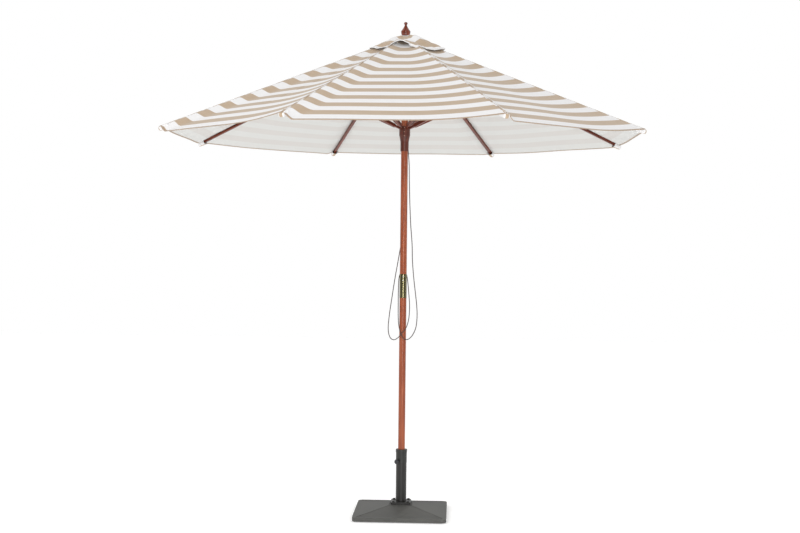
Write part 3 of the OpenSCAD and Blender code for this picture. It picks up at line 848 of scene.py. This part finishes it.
def addPocket(k):
    # a sewn sleeve that holds the rib's end at the canopy's corner
    start, along, across, up = ribFrame(k)
    end = (canopy["radius"] - pivotRadius) / along.xy.length + pocket["past"]
    rings, sides = pocket["rings"], pocket["sides"]
    points, faces, weave = [], [], []
    for i in range(rings + 1):
        t = i / rings
        run = end - pocket["length"] * (1 - t)
        closing = 1 - (1 - pocket["tip"]) * t**1.6
        if t > pocket["closeFrom"]:
            late = (t - pocket["closeFrom"]) / (1 - pocket["closeFrom"])
            closing *= math.sqrt(max(0.0, 1 - late**2)) * 0.75 + 0.25
        wide, deep = pocket["width"] / 2 * closing, pocket["depth"] / 2 * closing
        flare = 1 + pocket["flare"] * math.exp(-t * 18)
        middle = start + along * run - up * pocket["below"]
        for s in range(sides):
            turn = 2 * math.pi * s / sides
            x = math.copysign(abs(math.cos(turn)) ** 0.7, math.cos(turn)) * wide * flare
            z = math.copysign(abs(math.sin(turn)) ** 0.7, math.sin(turn)) * deep * flare
            crumple = pocket["crumple"] * noise.noise(Vector((run * 90, s * 0.45, k * 3.0)))
            points.append(middle + across * (x * (1 + crumple * 40)) + up * (z + crumple))
            weave.append((run, cloth["beigeCentre"] + x * pocket["stripe"], 0))
    for i in range(rings):
        for s in range(sides):
            e = (s + 1) % sides
            faces.append((i * sides + s, i * sides + e, (i + 1) * sides + e, (i + 1) * sides + s))
    faces.append(tuple(rings * sides + s for s in range(sides)))
    mesh = meshFrom(f"corner_pocket_{k}", points, faces)
    setAttribute(mesh, "weave", weave)
    fixNormals(mesh)
    mesh.materials.append(clothTop)
    sleeve = newObject(f"corner_pocket_{k}", mesh)
    thicken(sleeve, pocket["wall"])
    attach(sleeve, f"rib_{k}")


for k in range(1, 9):
    addSeam(k)
    addPocket(k)
print("seams and corner pockets sewn")


octagonSide = 0.765  # an octagon's side over its corner radius
# the vent cap's corners lie over the ribs, and its hem arches up between them; each list holds
# one value for each corner or gore, and the turned values fold down a stretch of the first hem
cap = {
    "radius": 0.215,
    "top": 0.001,
    "hole": 0.012,
    "thickness": 0.0011,
    "columns": 28,
    "rows": 56,
    "reach": [1.0, 1.0, 1.11, 1.04, 1.0, 1.0, 1.0, 0.98],
    "cornerLift": [-0.006, -0.006, -0.004, -0.002, -0.004, -0.003, -0.002, 0.002],
    "arch": [0.033, -0.012, 0.004, 0.008, -0.003, 0.006, 0.002, -0.010],
    "skew": [0.68, 0.85, 1.1, 0.9, 1.2, 0.8, 1.0, 1.25],
    "bulge": [0.0, 0.024, 0.01, 0.012, 0.006, 0.01, 0.008, 0.013],
    "crumple": 0.008,
    "fineCrumple": 0.0024,
    "crumplesPerMetre": 22,
    "drawn": [0.15, 0.0, 0.03, 0.04, 0.02, 0.04, 0.03, 0.0],
    "turnedHem": 0.015,
    "turnedOut": 0.008,
    "turnedFrom": 0.66,
    "turnedTo": 0.99,
    "hemHeight": 0.010,
    "hemStripe": 3.0,
}
capLow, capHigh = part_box("vent_cap")


def capCorner(k):
    far = cap["radius"] * cap["reach"][(k - 1) % 8]
    return polar(far, ribAzimuth(k), capLow.z + cap["cornerLift"][(k - 1) % 8])


def capPoint(gore, across, down):
    # across runs from the gore's left corner to its right one, down from the middle to the hem
    index = gore - 1
    corner = capCorner(gore).lerp(capCorner(gore + 1), across)
    inner = cap["hole"] / cap["radius"]
    part = inner + (1 - inner) * down
    spot = Vector((corner.x * part, corner.y * part, 0))
    top = capHigh.z + cap["top"]
    fall = (top - corner.z) * (0.9 * down + 0.1 * down**2)
    raised = math.sin(math.pi * across ** cap["skew"][index])
    arch = cap["arch"][index] * raised * smoothStep((down - 0.4) / 0.6)
    spot *= 1 - cap["drawn"][index] * raised * down**2
    body = cap["bulge"][index] * math.sin(math.pi * across) * math.sin(math.pi * min(1, down * 1.05))
    often = cap["crumplesPerMetre"]
    place = Vector((spot.x * often, spot.y * often, 3.3))
    rumple = cap["crumple"] * noise.noise(place) * smoothStep(down / 0.3)
    fine = cap["fineCrumple"] * noise.noise(place * 2.7) * smoothStep(down / 0.2)
    turned = 0.0
    if gore == 1:
        begins = smoothStep((across - cap["turnedFrom"]) / 0.06)
        span = begins * smoothStep((cap["turnedTo"] - across) / 0.05)
        turned = cap["turnedHem"] * span * smoothStep((down - 0.86) / 0.1)
        spot.y -= cap["turnedOut"] * span * smoothStep((down - 0.84) / 0.08)
    spot.z = top - fall + arch + body + rumple + fine - turned
    return spot


def addCap():
    cols, rows = cap["columns"], cap["rows"]
    shape = bmesh.new()
    layer = shape.verts.layers.float_vector.new("weave")
    edge, inward = [], []
    for gore in range(1, 9):
        grid = []
        for row in range(rows + 1):
            line = []
            for col in range(cols + 1):
                down, across = row / rows, col / cols
                vert = shape.verts.new(capPoint(gore, across, down))
                wide = (across - 0.5) * down * cap["radius"] * octagonSide
                vert[layer] = Vector((wide, cap["radius"] * math.cos(math.pi / 8) * down, 0))
                line.append(vert)
            grid.append(line)
        edge += [vert.co.copy() for vert in grid[-1][:-1]]
        inward += [above.co - vert.co for above, vert in zip(grid[-2][:-1], grid[-1])]
        for upper, lower in zip(grid, grid[1:]):
            for col in range(cols):
                shape.faces.new((upper[col], lower[col], lower[col + 1], upper[col + 1]))
    bmesh.ops.remove_doubles(shape, verts=shape.verts, dist=0.00005)
    mesh = bpy.data.meshes.new("vent_cap_cloth")
    area = sum(face.calc_area() for face in shape.faces)
    shape.to_mesh(mesh)
    shape.free()
    mesh.shade_smooth()
    mesh.materials.append(capTop)
    mesh.materials.append(clothUnder)
    cover = newObject("vent_cap_cloth", mesh)
    thicken(cover, cap["thickness"], under=1)
    edge, inward = edge + edge[:1], inward + inward[:1]
    high = cap["hemHeight"]
    hem = newObject("vent_cap_hem", hemTape("vent_cap_hem", edge, inward, high, cap["hemStripe"]))
    hem.data.materials.append(clothTop)
    for piece in (cover, hem):
        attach(piece, "upper_pole")
    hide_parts("vent_cap")
    lines = [stitchLine(edge, inward, high, sign) for sign in (1, -1)]
    addStitches("vent_cap_stitches", lines, "upper_pole")
    print("vent cap area", round(area, 4))


addCap()


def refine(name, material, body, bevel=0.0012, grain=None, angle=0.6, title=None):
    # a smoothed and edge-rounded piece made from a CAD node's own surface
    mesh = nodes[name].data.copy()
    mesh.materials.clear()
    shape = bmesh.new()
    shape.from_mesh(mesh)
    bmesh.ops.remove_doubles(shape, verts=shape.verts, dist=0.00002)
    bmesh.ops.dissolve_limit(shape, angle_limit=0.01, verts=shape.verts, edges=shape.edges)
    shape.to_mesh(mesh)
    shape.free()
    mesh.name = title or f"{name}_finished"
    piece = newObject(mesh.name, mesh)
    if bevel:
        edges = piece.modifiers.new("edges", "BEVEL")
        edges.width, edges.segments, edges.limit_method, edges.angle_limit = bevel, 3, "ANGLE", 0.7
        edges.use_clamp_overlap = True
        applyModifiers(piece)
    piece.data.shade_smooth()
    piece.data.set_sharp_from_angle(angle=angle)
    level = piece.modifiers.new("largeFacesLead", "WEIGHTED_NORMAL")
    level.keep_sharp = True
    applyModifiers(piece)
    if grain:
        grainAlong(piece.data, *grain)
    piece.data.materials.clear()
    piece.data.materials.append(material)
    for polygon in piece.data.polygons:
        polygon.material_index = 0
    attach(piece, body)
    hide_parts(name)
    return piece


upright = ((0, 0, 0), (0, 0, 1))
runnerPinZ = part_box("runner_pins")[0].z
for k in range(1, 9):
    start, along, across, up = ribFrame(k)
    refine(f"rib_{k}", ribWoodPaintedShade, f"rib_{k}", 0.0016, (start, along, k * 1.3))
    refine(f"strut_bracket_{k}", bracketMetal, f"rib_{k}", 0.0005)
    pin = Vector(joints[f"strut_pin_{k}"]["pos_m"])
    foot = polar(pivotRadius, ribAzimuth(k), runnerPinZ)
    refine(f"strut_{k}", ribWoodPaintedShade, f"strut_{k}", 0.0016, (foot, pin - foot, 20 + k * 1.1))
refine("lower_pole", poleWood, "lower_pole", 0.001, (*upright, 1.0))
refine("upper_pole", poleWood, "upper_pole", 0.001, (*upright, 4.0))
refine("top_hub", turnedWood, "upper_pole", 0.001, (*upright, 7.0))
refine("vent_spacer", turnedWood, "upper_pole", 0.001, (*upright, 9.0))
refine("runner", turnedWood, "runner", 0.0012, (*upright, 11.0))
refine("finial", finialWood, "upper_pole", 0.0006, (*upright, 14.0), angle=0.9)
refine("ferrule", brass, "lower_pole", 0.0003)
refine("ferrule_screws", steel, "lower_pole", 0)
refine("hub_pins", steel, "upper_pole", 0)
refine("runner_pins", steel, "runner", 0)
refine("runner_nails", nailMetal, "runner", 0.0004)
refine("sheave", steel, "sheave", 0.0005)
refine("base_plate", platePaint, "base", 0.0022)
refine("base_tube", tubePaint, "base", 0.0012)
refine("base_collar", collarPlastic, "base", 0.0008)
refine("clamp_screw", knobPlastic, "clamp_screw", 0.0012)
refine("base_bolts", tubePaint, "base", 0.0004)
refine("base_feet", rubber, "base", 0.001)
print("frame pieces finished")


# matt white card, lit a little from within so that no edge of it shows against the studio
floor = {"half": 14, "colour": "#FAFAFA", "glow": 0.2}


def addFloor():
    shape = bmesh.new()
    bmesh.ops.create_grid(shape, x_segments=1, y_segments=1, size=floor["half"])
    mesh = bpy.data.meshes.new("floor")
    shape.to_mesh(mesh)
    shape.free()
    material, tree, shader = newMaterial("whiteStudioCard")
    shader.inputs["Base Color"].default_value = linear(floor["colour"])
    shader.inputs["Roughness"].default_value = 0.9
    shader.inputs["Specular IOR Level"].default_value = 0.0
    shader.inputs["Emission Color"].default_value = (1, 1, 1, 1)
    shader.inputs["Emission Strength"].default_value = floor["glow"]
    mesh.materials.append(material)
    newObject("floor", mesh)


addFloor()
scene.view_settings.view_transform = "Standard"
